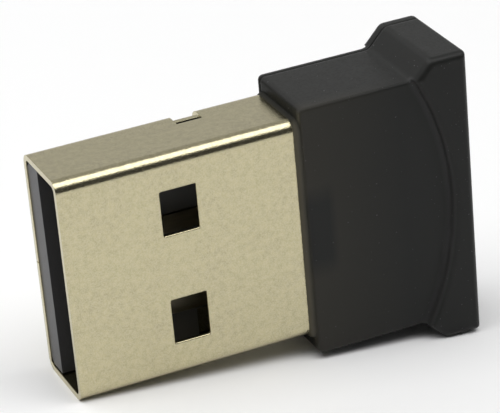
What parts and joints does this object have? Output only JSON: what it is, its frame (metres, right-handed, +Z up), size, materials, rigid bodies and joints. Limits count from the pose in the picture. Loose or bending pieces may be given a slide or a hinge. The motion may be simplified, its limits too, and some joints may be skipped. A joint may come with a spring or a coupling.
{
  "type": "usb bluetooth adapter",
  "caption": "Nano wireless adapter: pale gold folded-metal computer plug with a dark contact carrier, in a smoky plastic head with a wider flange to grip, resting on its narrow edge.",
  "frame": {"origin": "centre of the bounding box at its base, on the surface that the adapter rests on", "axes": "+X from the plug's mouth towards the head's end, level; +Y through the thickness, towards the wall with the seam; +Z up. The plug's own axis rises by 5.2 degrees towards the head, because the adapter rests on the mouth's lower edge and on the wider flange"},
  "size_m": [0.0228, 0.006, 0.0157],
  "materials": {
    "shell_plating": "pale gold plating, satin grain, glossy at the bends",
    "carrier_plastic": "dark grey moulded, fine grain",
    "contact_plating": "gold plated, smooth",
    "board_laminate": "green lacquered laminate",
    "chip_resin": "moulded resin",
    "crystal_can": "nickel lid",
    "antenna_foil": "tinned copper foil",
    "led_lens": "clear resin",
    "capacitor_ceramic": "fired ceramic",
    "resistor_ceramic": "glazed ceramic",
    "inductor_ferrite": "ferrite",
    "head_plastic": "smoky translucent, smooth moulded"
  },
  "bodies": {
    "root": {"plug_shell": "shell_plating", "contact_carrier": "carrier_plastic", "contact_power": "contact_plating", "contact_data_minus": "contact_plating", "contact_data_plus": "contact_plating", "contact_ground": "contact_plating", "circuit_board": "board_laminate", "radio_chip": "chip_resin", "crystal": "crystal_can", "antenna": "antenna_foil", "status_led": "led_lens", "inductor": "inductor_ferrite", "capacitor_1": "capacitor_ceramic", "capacitor_2": "capacitor_ceramic", "capacitor_3": "capacitor_ceramic", "capacitor_4": "capacitor_ceramic", "resistor_1": "resistor_ceramic", "resistor_2": "resistor_ceramic", "resistor_3": "resistor_ceramic", "head_body": "head_plastic", "head_cover": "head_plastic"}
  },
  "joints": []
}
